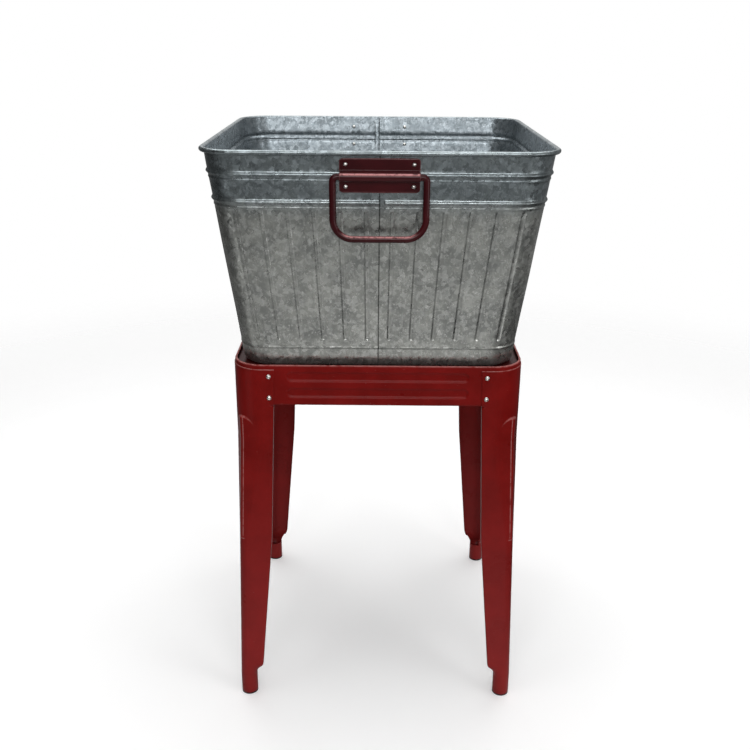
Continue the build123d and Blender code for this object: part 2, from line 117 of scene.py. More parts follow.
# ---- Sizes of the stand ----------------------------------------------------------------------
STAND_SHEET = 1.2 * MM
APRON_CORNER = 45.9 * MM
APRON_LIP = 3 * MM
CHANNEL_HALF = 138 * MM
CHANNEL_REACH = 7.8 * MM
CHANNEL_DEPTH = 2.2 * MM
CHANNEL_DROPS = (18.6 * MM, 44.5 * MM)
LEG_HALF = APRON_HALF + 1.25 * MM
LEG_CORNER = APRON_CORNER + 1.25 * MM
FOOT_RADIUS = 13.6 * MM
LEG_BEND_Z = 300 * MM
CORNER_TAPER_TOP = 472 * MM
ARCH_TOP = 511 * MM
ARCH_FADE = 2.5 * MM
RIDGE_TURN = math.radians(28)
# Distance of the painted highlight line beside the leg's ridge.
RIDGE_HIGHLIGHT_LINE = 4.2 * MM
NOTCH_TOP = 53 * MM
NOTCH_BOTTOM = 37 * MM
LEG_EDGES = (
    (NOTCH_BOTTOM, 199.5 * MM),
    (NOTCH_TOP, 190.5 * MM),
    (LEG_BEND_Z, 168.5 * MM),
    (APRON_BOTTOM, 158.5 * MM),
    (LEG_TOP, 156.6 * MM),
)
RETURN_BEND = 2 * MM
RETURN_DEPTH = 8 * MM
FOOT_BLEND_TOP = 62 * MM

# ---- Sizes worked out from those --------------------------------------------------------------
ARCH_REACH = LEG_CORNER * math.sin(RIDGE_TURN)
ARCH_SPRING = ARCH_TOP - ARCH_REACH
ROLL_Z = RIM_TOP - ROLL_RADIUS
ROLL_BORE = ROLL_RADIUS - TUB_SHEET
WALL_TOP_HALF = RIM_HALF - ROLL_RADIUS - ROLL_BORE
WALL_TOP_CORNER = RIM_CORNER - ROLL_RADIUS - ROLL_BORE
WALL_SLOPE = (WALL_TOP_HALF - BASE_HALF) / (ROLL_Z - TUB_BASE)
WALL_TILT = math.atan(WALL_SLOPE)
BASE_BEAD_Z = TUB_BASE + BASE_BEAD_RISE
FLUTE_LOW = TUB_BASE + FLUTE_RISE
FLUTE_HIGH = RIM_TOP - FLUTE_DROP
EDGE_ROUNDING = 0.3


# ---- Number helpers --------------------------------------------------------------------------
def fade(x, low, high):
    """0 below low, 1 above high and smooth between."""
    t = np.clip((x - low) / (high - low), 0, 1)
    return t * t * (3 - 2 * t)


def bump(distance, reach):
    """Smooth rise to 1 in the middle of a band that reaches so far each side."""
    return 0.5 + 0.5 * np.cos(np.pi * np.clip(distance / reach, -1, 1))


def spread(*parts):
    """Sorted values, without repeats, from several lists."""
    values = np.concatenate([np.atleast_1d(np.asarray(part, float)) for part in parts])
    return np.unique(np.round(values, 7))


# ---- Mesh helpers ----------------------------------------------------------------------------
def make_piece(name, points, faces, materials, body, replaced=(), indices=None, painted_light_and_wear=None):
    """Smooth-shaded piece that rides on a body and stands for CAD nodes."""
    mesh = bpy.data.meshes.new(name)
    mesh.from_pydata([tuple(p) for p in points], [], faces)
    mesh.polygons.foreach_set("use_smooth", [True] * len(mesh.polygons))
    for material in materials:
        mesh.materials.append(material)
    if indices is not None:
        mesh.polygons.foreach_set("material_index", indices)
    # This attribute holds painted shade and painted highlights, and a little edge wear.
    if painted_light_and_wear is not None:
        attribute = mesh.attributes.new("painted_light_and_wear", "FLOAT", "POINT")
        attribute.data.foreach_set("value", np.asarray(painted_light_and_wear, np.float32))
    mesh.update()
    piece = bpy.data.objects.new(name, mesh)
    bpy.context.scene.collection.objects.link(piece)
    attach(piece, body)
    if replaced:
        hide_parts(*replaced)
    return piece


def rounded_edge(outer, inner, axis, ends="both"):
    """Both faces of a sheet with one more row past its ends, drawn together to round the edge."""
    outer, inner = np.moveaxis(outer, axis, 0), np.moveaxis(inner, axis, 0)
    outer_rows, inner_rows = [outer], [inner]
    for end, before in ((0, 1), (-1, -2)):
        if end == 0 and ends == "last":
            continue
        place = 0 if end == 0 else len(outer_rows)
        along = outer[end] - outer[before]
        along = along / np.linalg.norm(along, axis=-1, keepdims=True)
        through = inner[end] - outer[end]
        out_by = along * np.linalg.norm(through, axis=-1, keepdims=True) * EDGE_ROUNDING
        outer_rows.insert(place, (outer[end] + out_by + EDGE_ROUNDING * through)[None])
        inner_rows.insert(place, (inner[end] + out_by - EDGE_ROUNDING * through)[None])
    outer, inner = np.concatenate(outer_rows), np.concatenate(inner_rows)
    return np.moveaxis(outer, 0, axis), np.moveaxis(inner, 0, axis)


def sheet_faces(rows, columns, ring=False, first_edge=True):
    """Faces of a closed sheet whose outer grid comes first and whose inner grid follows it.

    A ring's columns close on themselves. first_edge says whether the first rows are joined to each other.
    """
    inner = rows * columns
    last = columns if ring else columns - 1
    faces = []
    for i in range(rows - 1):
        for j in range(last):
            k = (j + 1) % columns
            a, b = i * columns + j, i * columns + k
            c, d = b + columns, a + columns
            faces.append((a, b, c, d))
            faces.append((inner + d, inner + c, inner + b, inner + a))
    for j in range(last):
        k = (j + 1) % columns
        if first_edge:
            faces.append((inner + j, inner + k, k, j))
        top = (rows - 1) * columns
        faces.append((top + j, top + k, inner + top + k, inner + top + j))
    if not ring:
        for i in range(rows - 1):
            a, b = i * columns, (i + 1) * columns
            faces.append((a, b, inner + b, inner + a))
            a, b = a + columns - 1, b + columns - 1
            faces.append((b, a, inner + a, inner + b))
    return faces


def grid_normals(points):
    """Unit normals of a grid, rows by columns, on the side that its faces point to."""
    down = np.gradient(points, axis=0)
    across = np.gradient(points, axis=1)
    normals = np.cross(across, down)
    return normals / np.linalg.norm(normals, axis=-1, keepdims=True)


def turned(points, quarter_turns):
    """Points turned about the Z axis."""
    angle = quarter_turns * math.pi / 2
    c, s = math.cos(angle), math.sin(angle)
    return points @ np.array(((c, -s, 0), (s, c, 0), (0, 0, 1))).T


# ---- Plan of a rounded square ----------------------------------------------------------------
def side_columns(places, turns, first, last):
    """Columns from one side's middle round to another's: (side, place on its flat, turn on its corner)."""
    half_side = [(t, 0.0) for t in places] + [(1.0, turn) for turn in turns]
    whole = [(-t, -turn) for t, turn in reversed(half_side[1:])] + half_side
    columns = []
    for side in range(first, last + 1):
        if last - first == 4:
            part = whole[:-1]
        elif side == first:
            part = half_side
        elif side == last:
            part = [c for c in whole if c[0] <= 0][1:]
        else:
            part = whole[1:]
        columns += [(side, t, turn) for t, turn in part]
    if last - first == 4:
        columns = [c for c in columns if c[0] < last]
    return np.array(columns)


def plan_points(columns, flat, corner, out, z):
    """Grid of points: a rounded square of that flat half length and corner, moved out and up."""
    side, place, turn = columns
    x = place * flat + (corner + out) * np.sin(turn)
    y = -(flat + (corner + out) * np.cos(turn))
    c, s = np.cos(side * np.pi / 2), np.sin(side * np.pi / 2)
    return np.stack(np.broadcast_arrays(x * c - y * s, x * s + y * c, z), axis=-1)


def wobble(points, size, seed=5):
    """Gentle waves of handled sheet metal, in metres."""
    random = np.random.RandomState(seed)
    total = np.zeros(points.shape[:-1])
    for wave in range(9):
        direction = random.normal(size=3)
        direction = direction / np.linalg.norm(direction)
        length = random.uniform(45, 160) * MM
        total += np.sin(points @ direction * 2 * np.pi / length + random.uniform(0, 2 * np.pi))
    return total * size / 4


# ---- Node helpers ----------------------------------------------------------------------------
class Nodes:
    """Short names for building one material's node tree."""

    def __init__(self, name):
        self.material = bpy.data.materials.new(name)
        self.material.use_nodes = True
        self.tree = self.material.node_tree
        self.shader = self.tree.nodes["Principled BSDF"]
        self.place = self.node("ShaderNodeTexCoord").outputs["Object"]

    def node(self, kind, **settings):
        node = self.tree.nodes.new(kind)
        for key, value in settings.items():
            setattr(node, key, value)
        return node

    def link(self, value, socket):
        if hasattr(value, "links"):
            self.tree.links.new(value, socket)
        else:
            socket.default_value = value

    def noise(self, scale, detail=3.0, roughness=0.5, at=None):
        node = self.node("ShaderNodeTexNoise")
        self.link(self.place if at is None else at, node.inputs["Vector"])
        node.inputs["Scale"].default_value = scale
        node.inputs["Detail"].default_value = detail
        node.inputs["Roughness"].default_value = roughness
        return node.outputs

    def cells(self, scale, at=None):
        node = self.node("ShaderNodeTexVoronoi")
        self.link(self.place if at is None else at, node.inputs["Vector"])
        node.inputs["Scale"].default_value = scale
        return node.outputs

    def remap(self, value, low, high, to_low=0.0, to_high=1.0):
        node = self.node("ShaderNodeMapRange", interpolation_type="SMOOTHSTEP")
        for socket, v in zip(node.inputs, (value, low, high, to_low, to_high)):
            self.link(v, socket)
        return node.outputs[0]

    def math(self, operation, a, b):
        node = self.node("ShaderNodeMath", operation=operation)
        self.link(a, node.inputs[0])
        self.link(b, node.inputs[1])
        return node.outputs[0]

    def vector(self, operation, a, b):
        node = self.node("ShaderNodeVectorMath", operation=operation)
        self.link(a, node.inputs[0])
        self.link(b, node.inputs[1])
        return node.outputs[0]

    def mix(self, factor, a, b, blend="MIX"):
        node = self.node("ShaderNodeMix", data_type="RGBA", blend_type=blend)
        self.link(factor, node.inputs["Factor"])
        for value, socket in ((a, node.inputs[6]), (b, node.inputs[7])):
            self.link(value if hasattr(value, "links") else (*value, 1.0), socket)
        return node.outputs[2]

    def bumped(self, height, distance, strength=1.0, normal=None):
        node = self.node("ShaderNodeBump")
        node.inputs["Strength"].default_value = strength
        node.inputs["Distance"].default_value = distance
        self.link(height, node.inputs["Height"])
        if normal is not None:
            self.link(normal, node.inputs["Normal"])
        return node.outputs[0]

    def height(self):
        node = self.node("ShaderNodeSeparateXYZ")
        self.link(self.place, node.inputs[0])
        return node.outputs[2]

    def attribute(self, name):
        return self.node("ShaderNodeAttribute", attribute_name=name).outputs["Fac"]

    def finish(self, color, roughness, normal, metallic=0.0, coat=0.0, coat_roughness=0.1, specular=0.5):
        inputs = self.shader.inputs
        self.link(color, inputs["Base Color"])
        self.link(roughness, inputs["Roughness"])
        self.link(normal, inputs["Normal"])
        inputs["Metallic"].default_value = metallic
        inputs["Coat Weight"].default_value = coat
        inputs["Coat Roughness"].default_value = coat_roughness
        inputs["Specular IOR Level"].default_value = specular
        return self.material


# ---- Materials -------------------------------------------------------------------------------
def galvanised(name, dark, middle, light, top_band_tone_and_shade, metallic):
    """Hot-dip zinc: soft crystals that each catch the light differently, fine specks and drawn streaks."""
    n = Nodes(name)
    warp = n.vector("MULTIPLY", n.noise(70, 2)["Color"], (0.008, 0.008, 0.008))
    at = n.vector("ADD", n.place, warp)
    big = n.cells(170, at)
    small = n.cells(520, at)
    pick = n.node("ShaderNodeSeparateColor")
    n.link(big["Color"], pick.inputs[0])
    speck = n.node("ShaderNodeSeparateColor")
    n.link(small["Color"], speck.inputs[0])
    blotch = n.noise(26, 5, 0.62)["Fac"]
    streak = n.noise(150, 3, 0.6, n.vector("MULTIPLY", n.place, (1.0, 1.0, 0.09)))["Fac"]
    color = n.mix(n.remap(blotch, 0.34, 0.66), dark, middle)
    color = n.mix(n.remap(streak, 0.48, 0.68, 0.0, 0.35), color, dark)
    grain = n.noise(330, 4, 0.7, n.vector("MULTIPLY", n.place, (1.0, 1.0, 0.45)))["Fac"]
    color = n.mix(n.remap(grain, 0.52, 0.72, 0.0, 0.55), color, light)
    color = n.mix(n.remap(grain, 0.28, 0.46, 0.45, 0.0), color, dark)
    color = n.mix(n.remap(pick.outputs[0], 0.35, 1.0, 0.0, 0.42), color, light)
    color = n.mix(n.remap(speck.outputs[1], 0.88, 0.97, 0.0, 0.5), color, light)
    color = n.mix(n.remap(speck.outputs[0], 0.86, 1.0, 0.0, 0.3), color, dark)
    # Darker, bluer band at the top: partly the zinc's own tone, partly painted shade.
    high = n.remap(n.height(), RIM_TOP - 100 * MM, RIM_TOP - 62 * MM)
    color = n.mix(high, color, n.mix(1.0, color, top_band_tone_and_shade, "MULTIPLY"))
    # Darker towards the top: partly the zinc's own tone, partly painted shade.
    upper_tone_and_shade = n.remap(n.height(), RIM_TOP - 270 * MM, RIM_TOP - 80 * MM, 0.0, 0.35)
    color = n.mix(upper_tone_and_shade, color, n.mix(1.0, color, (0.6, 0.62, 0.62), "MULTIPLY"))
    # Painted shade where the attribute is below 0 and painted highlight where it is above 0: flute flanks, seam
    # groove, under the low bead.
    color = n.mix(n.math("MULTIPLY", n.attribute("painted_light_and_wear"), -0.45), color, (0.06, 0.065, 0.06))
    color = n.mix(n.math("MULTIPLY", n.attribute("painted_light_and_wear"), 0.6), color, (0.95, 0.96, 0.93))
    tilt = n.vector("MULTIPLY", n.vector("SUBTRACT", big["Color"], (0.5, 0.5, 0.5)), (0.07, 0.07, 0.07))
    fine = n.vector("MULTIPLY", n.vector("SUBTRACT", small["Color"], (0.5, 0.5, 0.5)), (0.05, 0.05, 0.05))
    normal = n.vector("ADD", n.node("ShaderNodeNewGeometry").outputs["Normal"], n.vector("ADD", tilt, fine))
    normal = n.vector("NORMALIZE", normal, (0, 0, 0))
    normal = n.bumped(n.noise(180, 3)["Fac"], 0.12 * MM, 0.4, normal)
    roughness = n.remap(pick.outputs[2], 0.0, 1.0, 0.26, 0.40)
    return n.finish(color, roughness, normal, metallic=metallic)


def painted(name, deep, bright, worn_and_highlight, painted_floor_reflection=0.0, gloss=0.02):
    """Glossy enamel over steel: faint mottle, orange peel, flecks worn light, painted highlights with some edge
    wear, and a painted floor reflection low down.
    """
    n = Nodes(name)
    mottle = n.noise(14, 5, 0.6)["Fac"]
    color = n.mix(n.remap(mottle, 0.35, 0.7), deep, bright)
    # Painted floor reflection: lighter and pinker towards the bottom.
    color = n.mix(n.remap(n.height(), 60 * MM, 520 * MM, painted_floor_reflection, 0.0), color, (0.42, 0.055, 0.055))
    fleck = n.noise(420, 2)["Fac"]
    color = n.mix(n.remap(fleck, 0.72, 0.8, 0.0, 0.2), color, worn_and_highlight)
    # Painted highlights, with a little edge wear, lighten the colour where the attribute says.
    highlight_and_rub = n.math("MULTIPLY", n.attribute("painted_light_and_wear"), n.remap(n.noise(150, 4, 0.7)["Fac"], 0.3, 0.55))
    color = n.mix(highlight_and_rub, color, worn_and_highlight)
    peel = n.bumped(n.noise(260, 2)["Fac"], 0.06 * MM, 0.3)
    normal = n.bumped(n.noise(30, 2)["Fac"], 0.4 * MM, 0.3, peel)
    roughness = n.remap(mottle, 0.3, 0.7, 0.26, 0.36)
    return n.finish(color, roughness, normal, coat=gloss, coat_roughness=0.06, specular=0.1)


def plated(name):
    """Bright zinc plate with fine scratches and a dull bloom."""
    n = Nodes(name)
    bloom = n.noise(500, 3)["Fac"]
    color = n.mix(n.remap(bloom, 0.35, 0.7), (0.78, 0.76, 0.72), (0.50, 0.49, 0.47))
    normal = n.bumped(n.noise(900, 2)["Fac"], 0.05 * MM, 0.4)
    return n.finish(color, n.remap(bloom, 0.3, 0.7, 0.2, 0.38), normal, metallic=1.0)


def rubber(name):
    """Matt dark rubber, scuffed grey in places."""
    n = Nodes(name)
    scuff = n.noise(160, 5, 0.7)["Fac"]
    color = n.mix(n.remap(scuff, 0.5, 0.75), (0.012, 0.009, 0.009), (0.06, 0.05, 0.05))
    normal = n.bumped(n.noise(700, 3)["Fac"], 0.1 * MM, 0.5)
    return n.finish(color, n.remap(scuff, 0.3, 0.7, 0.6, 0.85), normal)


ZINC_OUT = galvanised(
    "zinc_outside",
    dark=(0.32, 0.33, 0.315),
    middle=(0.50, 0.51, 0.475),
    light=(0.82, 0.83, 0.80),
    top_band_tone_and_shade=(0.56, 0.62, 0.68),
    metallic=0.92,
)
# A darker copy of the zinc for the inside: painted shade, as less light reaches in.
ZINC_INSIDE_SHADED = galvanised(
    "zinc_inside",
    dark=(0.17, 0.19, 0.20),
    middle=(0.24, 0.265, 0.28),
    light=(0.55, 0.58, 0.60),
    top_band_tone_and_shade=(0.93, 0.97, 1.0),
    metallic=0.72,
)
RED = painted(
    "red_enamel",
    deep=(0.150, 0.0040, 0.0030),
    bright=(0.205, 0.0060, 0.0050),
    worn_and_highlight=(0.66, 0.33, 0.31),
    painted_floor_reflection=0.28,
)
# A darker copy of the red for the seat frame: painted shade inside the stand.
SHADED_RED = painted(
    "shaded_enamel", deep=(0.030, 0.004, 0.004), bright=(0.045, 0.005, 0.005), worn_and_highlight=(0.2, 0.08, 0.08)
)
MAROON = painted(
    "maroon_enamel",
    deep=(0.034, 0.0025, 0.004),
    bright=(0.052, 0.004, 0.006),
    worn_and_highlight=(0.6, 0.26, 0.26),
    gloss=0.3,
)
STEEL = plated("bright_plate")
RUBBER = rubber("foot_rubber")


# ---- Tub wall --------------------------------------------------------------------------------
def wall_half(z):
    return BASE_HALF + WALL_SLOPE * (z - TUB_BASE)


def wall_corner(z):
    return BASE_CORNER + (WALL_TOP_CORNER - BASE_CORNER) * (z - TUB_BASE) / (ROLL_Z - TUB_BASE)


def flute_pitch(z):
    """Distance between neighbouring flutes at height z."""
    share = (z - FLUTE_LOW) / (FLUTE_HIGH - FLUTE_LOW)
    return FLUTE_PITCH_BASE + (FLUTE_PITCH_TOP - FLUTE_PITCH_BASE) * share


def past_corner(across, flat, corner):
    """Distance along a side and round its corner to a point that is so far across from the middle."""
    turn = np.arcsin(np.clip((np.abs(across) - flat) / corner, 0, 0.9))
    return np.sign(across) * (np.minimum(np.abs(across), flat) + corner * turn)


def wall_columns():
    """Columns round the right half of the tub, close together at the flutes and the seam.

    Their places are shares of the stretch that the flutes fan out over, and their turns are shares of
    what is left up to the corner's middle.
    """
    pitch = (FLUTE_PITCH_TOP + FLUTE_PITCH_BASE) / 2
    beside = np.array((-9, -5.2, -4.2, -3.5, -2.8, -2.1, -1.2, 0, 1.2, 2.1, 2.8, 3.5, 4.2, 5.2, 9)) * MM
    middles = (np.arange(FLUTES // 2) + 0.5) * pitch
    seam = np.array((0, 0.25, 0.5, 1.0, 1.5, 5.7, 6.3, 6.7, 7.2, 7.8, 8.4)) * MM
    places = spread(seam, (middles[:, None] + beside).ravel())
    places = places[places <= middles[-1] + 5.3 * MM]
    return places / places[-1], np.linspace(0, 1, 8)[1:], places[-1] / pitch


def wall_rows():
    """Heights of the wall's rows above its turned-in edge, close together at beads and flute ends."""
    near = np.linspace(-1, 1, 9)
    heights = [TUB_BASE + BASE_EDGE, ROLL_Z]
    heights.append(BASE_BEAD_Z + near * 1.5 * BASE_BEAD_REACH)
    for drop in BEAD_DROPS:
        heights.append(RIM_TOP - drop + near * BEAD_REACH)
        heights.append(RIM_TOP - drop - RIDGE_BELOW_BEAD + near[::2] * RIDGE_REACH)
    heights.append(FLUTE_LOW + np.linspace(-1.5, 6, 7) * MM)
    heights.append(FLUTE_HIGH - np.linspace(-1.5, 6, 7) * MM)
    heights.append(np.linspace(FLUTE_LOW + 16 * MM, FLUTE_HIGH - 16 * MM, 12))
    upper_bead, lower_bead = (RIM_TOP - drop for drop in BEAD_DROPS)
    heights.append(np.linspace(lower_bead + 2 * BEAD_REACH, upper_bead - 3 * BEAD_REACH, 3))
    heights.append(np.linspace(upper_bead + 2 * BEAD_REACH, ROLL_Z - ROLL_RADIUS, 4))
    rows = spread(*heights)
    return rows[np.concatenate([[True], np.diff(rows) > 0.25 * MM])]


def wall_relief(z, along, front, points):
    """How far the pressed wall stands out from the plain one, at distances along each side."""
    seam = front & (along >= 0)
    plain = np.where(seam, fade(along, SEAM_WIDTH - 0.5 * MM, SEAM_WIDTH + 1.5 * MM), 1.0)
    out = np.zeros_like(along)
    for drop in BEAD_DROPS:
        middle = RIM_TOP - drop
        out = out + BEAD_PROUD * bump(z - middle, BEAD_REACH)
        out = out + RIDGE_PROUD * bump(z - middle + RIDGE_BELOW_BEAD, RIDGE_REACH)
    out = out + BASE_BEAD_PROUD * bump(z - BASE_BEAD_Z, BASE_BEAD_REACH)
    out = out * plain
    out = out + BASE_BAND_PROUD * fade(BASE_BEAD_Z - z, 0, 2 * MM) * fade(z - TUB_BASE, 2 * MM, BASE_EDGE)
    ends = np.maximum(np.maximum(FLUTE_LOW + FLUTE_REACH - z, z - FLUTE_HIGH + FLUTE_REACH), 0)
    corner = wall_corner(z)
    for number in range(FLUTES):
        across = (number - (FLUTES - 1) / 2) * flute_pitch(z)
        distance = np.hypot(along - past_corner(across, wall_half(z) - corner, corner), ends)
        out = out - FLUTE_DEPTH * (1 - fade(distance, 1.2 * MM, FLUTE_REACH + 0.6 * MM))
    calm = fade(z - TUB_BASE, 15 * MM, 60 * MM) * fade(ROLL_Z - z, 4 * MM, 25 * MM)
    behind_plate = front & (np.abs(along) < 70 * MM) & (np.abs(z - PIVOT.z) < 35 * MM)
    return out + wobble(points, 0.22 * MM) * calm * np.where(behind_plate, 0.1, 1.0)


def painted_wall_shading(z, along):
    """Painted shade, below 0, in each flute's left flank and under the low bead, and painted highlight, above
    0, in its right one.
    """
    inside = fade(z, FLUTE_LOW - 1 * MM, FLUTE_LOW + 3 * MM) * fade(FLUTE_HIGH - z, -1 * MM, 3 * MM)
    corner = wall_corner(z)
    total = np.zeros_like(along)
    for number in range(FLUTES):
        across = (number - (FLUTES - 1) / 2) * flute_pitch(z)
        distance = along - past_corner(across, wall_half(z) - corner, corner)
        total = total + 0.4 * bump(distance - 2.8 * MM, 1.7 * MM) - bump(distance + 2.6 * MM, 1.9 * MM)
    below_bead = bump(z - BASE_BEAD_Z + 1 * MM, 1.8 * MM)
    return total * inside - 1.4 * below_bead


def lower_edge():
    """Height and distance inward of the rows round the wall's lower edge, from the end of its lip."""
    rows = [(TUB_BASE, BASE_EDGE + BASE_LIP), (TUB_BASE, BASE_EDGE + BASE_LIP / 2)]
    for angle in np.radians(np.linspace(0, 90, 7)[:-1]):
        rows.append((TUB_BASE + BASE_EDGE * (1 - math.cos(angle)), BASE_EDGE * (1 - math.sin(angle))))
    return np.array(rows)


def rim_roll(columns):
    """Bore and skin of the rolled rim, from the wall's top over and outwards."""
    arc = np.radians(np.linspace(180, ROLL_END, ROLL_STEPS + 1))[1:, None]
    sides = []
    for radius in (ROLL_BORE, ROLL_RADIUS):
        out, height = radius * np.cos(arc), ROLL_Z + radius * np.sin(arc)
        sides.append(plan_points(columns, RIM_HALF - RIM_CORNER, RIM_CORNER - ROLL_RADIUS, out, height))
    return sides


def make_tub_walls():
    """The two halves of the wall, each from its lip round the lower edge and up into the rolled rim."""
    places, turns, fan = wall_columns()
    side, fan_share, corner_share = side_columns(places, turns, 0, 2).T
    edge, rows = lower_edge(), wall_rows()
    z = np.concatenate([edge[:, 0], rows])[:, None]
    inward = np.concatenate([edge[:, 1], rows * 0])[:, None]
    corner = wall_corner(z)
    flat = wall_half(z) - corner
    fan_end = past_corner(fan * flute_pitch(z), flat, corner)
    along = past_corner(fan_share * fan * flute_pitch(z), flat, corner)
    along = along + corner_share * (flat + corner * math.pi / 4 - fan_end)
    turn = np.sign(along) * np.maximum(np.abs(along) - flat, 0) / corner
    columns = (side, np.clip(along / flat, -1, 1), turn)
    front = np.broadcast_to(side == 0, along.shape)
    back = np.broadcast_to(side == 2, along.shape)
    base = plan_points(columns, flat, corner, -inward, z)

    # The seam: a groove outside and, in front, the folded strip that makes the sheet thicker inside.
    groove = np.where(front, 1 - fade(along, 0.3 * MM, 1.0 * MM), 0)
    groove = (groove + np.where(back, fade(along, -0.8 * MM, 0), 0)) * SEAM_GROOVE * (inward == 0)
    strip = np.where(front, 1 - fade(along, SEAM_WIDTH, SEAM_WIDTH + 0.8 * MM), 0)
    strip = strip * fade(z, TUB_BASE + SEAM_RISE, TUB_BASE + SEAM_RISE + 1 * MM)
    thick = TUB_SHEET * (1 + strip * fade(ROLL_Z - z, 4 * MM, 5 * MM))
    through = thick * np.clip(1 - inward / BASE_EDGE, 0, 1)
    lift = TUB_SHEET * np.where(inward > 0, 1 - (z - TUB_BASE) / BASE_EDGE, 0)
    # Painted shade along the seam's groove, added to the flutes' painted shade and highlights, on the outer
    # face only.
    seam = np.where(front | back, bump(along, 1.2 * MM), 0) * fade(inward, 0.1 * MM, 0)
    painted_shading = np.pad(painted_wall_shading(z, along) - 1.8 * seam, ((1, ROLL_STEPS + 1), (0, 0))).ravel()

    roll_bore, roll_skin = rim_roll((side, columns[1][-1], turn[-1]))
    for name, half_turns in (("tub_wall_right", 0), ("tub_wall_left", 2)):
        relief = np.where(inward > 0, 0, wall_relief(z, along, front, turned(base, half_turns)))
        outside = relief - inward - groove
        outer = plan_points(columns, flat, corner, outside, z)
        inner = plan_points(columns, flat, corner, outside - through, z + lift)
        outer = np.concatenate([outer, roll_bore])
        inner = np.concatenate([inner, roll_skin])
        outer, inner = rounded_edge(outer, inner, 0)
        row_count, column_count = outer.shape[:2]
        faces = sheet_faces(row_count, column_count)
        points = turned(np.concatenate([outer, inner]).reshape(-1, 3), half_turns)
        # The inside's zinc runs up over the first three rows of the roll.
        first_inner = row_count * column_count
        last_inner = first_inner + (len(z) + 4) * column_count
        make_piece(
            name + "_sheet",
            points,
            faces,
            (ZINC_OUT, ZINC_INSIDE_SHADED),
            "tub",
            (name,),
            indices=[int(min(f) >= first_inner and max(f) < last_inner) for f in faces],
            painted_light_and_wear=np.concatenate([painted_shading, painted_shading * 0]),
        )


def make_pan():
    """Bottom pan: rounded upstand and a floor that sags a little, on the wall's lip."""
    gap = TUB_SHEET + CONTACT_GAP
    radius = BASE_EDGE - gap
    low = TUB_BASE + gap
    columns = side_columns(np.linspace(0, 1, 15), np.radians(np.linspace(0, 45, 9)[1:]), 0, 4)
    flats, corners, heights = [], [], []
    floor_half = wall_half(low) - BASE_EDGE
    floor_corner = wall_corner(low) - BASE_EDGE
    for share in (0.01, 0.1, 0.25, 0.45, 0.65, 0.8, 0.92):
        flats.append((floor_half - floor_corner) * share)
        corners.append(floor_corner * share)
        heights.append(low + PAN_SAG * (1 - share**2))
    for angle in np.radians(np.linspace(0, 90, 8)):
        z = low + radius * (1 - math.cos(angle))
        flats.append(wall_half(z) - wall_corner(z))
        corners.append(wall_corner(z) - gap - radius * (1 - math.sin(angle)))
        heights.append(z)
    for z in np.linspace(low + radius + 2 * MM, low + PAN_UPSTAND - TUB_SHEET, 3):
        flats.append(wall_half(z) - wall_corner(z))
        corners.append(wall_corner(z) - gap)
        heights.append(z)
    flat, corner, z = (np.array(v)[:, None] for v in (flats, corners, heights))
    outer = plan_points(columns.T, flat, corner, 0.0, z)
    inner = outer - grid_normals_ring(outer) * TUB_SHEET
    outer, inner = rounded_edge(outer, inner, 0, "last")
    rows, count = outer.shape[:2]
    faces = sheet_faces(rows, count, ring=True, first_edge=False)
    faces += [tuple(range(count))[::-1], tuple(range(rows * count, (rows + 1) * count))]
    points = np.concatenate([outer, inner]).reshape(-1, 3)
    make_piece(
        "tub_bottom_pan_sheet", points, faces, (ZINC_INSIDE_SHADED,), "tub", ("tub_bottom_pan",)
    )


def grid_normals_ring(points):
    """Normals of a grid whose columns close on themselves."""
    wrapped = np.concatenate([points[:, -2:], points, points[:, :2]], axis=1)
    return grid_normals(wrapped)[:, 2:-2]


# ---- Handles ---------------------------------------------------------------------------------
def plate_profile():
    """Points of the plate's outer face from its lower edge up: (up the wall, out from it, painted highlight).
    """
    top = PLATE_SHEET + CONTACT_GAP
    start = BARREL_RADIUS + PLATE_FILLET
    crest = math.radians(45)
    points = [(v, top, 0.0) for v in np.linspace(PLATE_REACH, start, 9)]
    points += [
        (start - PLATE_FILLET * math.sin(a), top + PLATE_FILLET * (1 - math.cos(a)), 0.0)
        for a in np.radians((22, 45, 68, 90))
    ]
    points += [
        (BARREL_RADIUS * math.cos(a), STAND_OFF + BARREL_RADIUS * math.sin(a), bump(a - crest, 0.4))
        for a in np.radians(np.linspace(0, 90, 13))
    ]
    mirrored = [(-v, w, 0.0) for v, w, _ in points[:-1]]
    return np.array(mirrored + points[::-1])


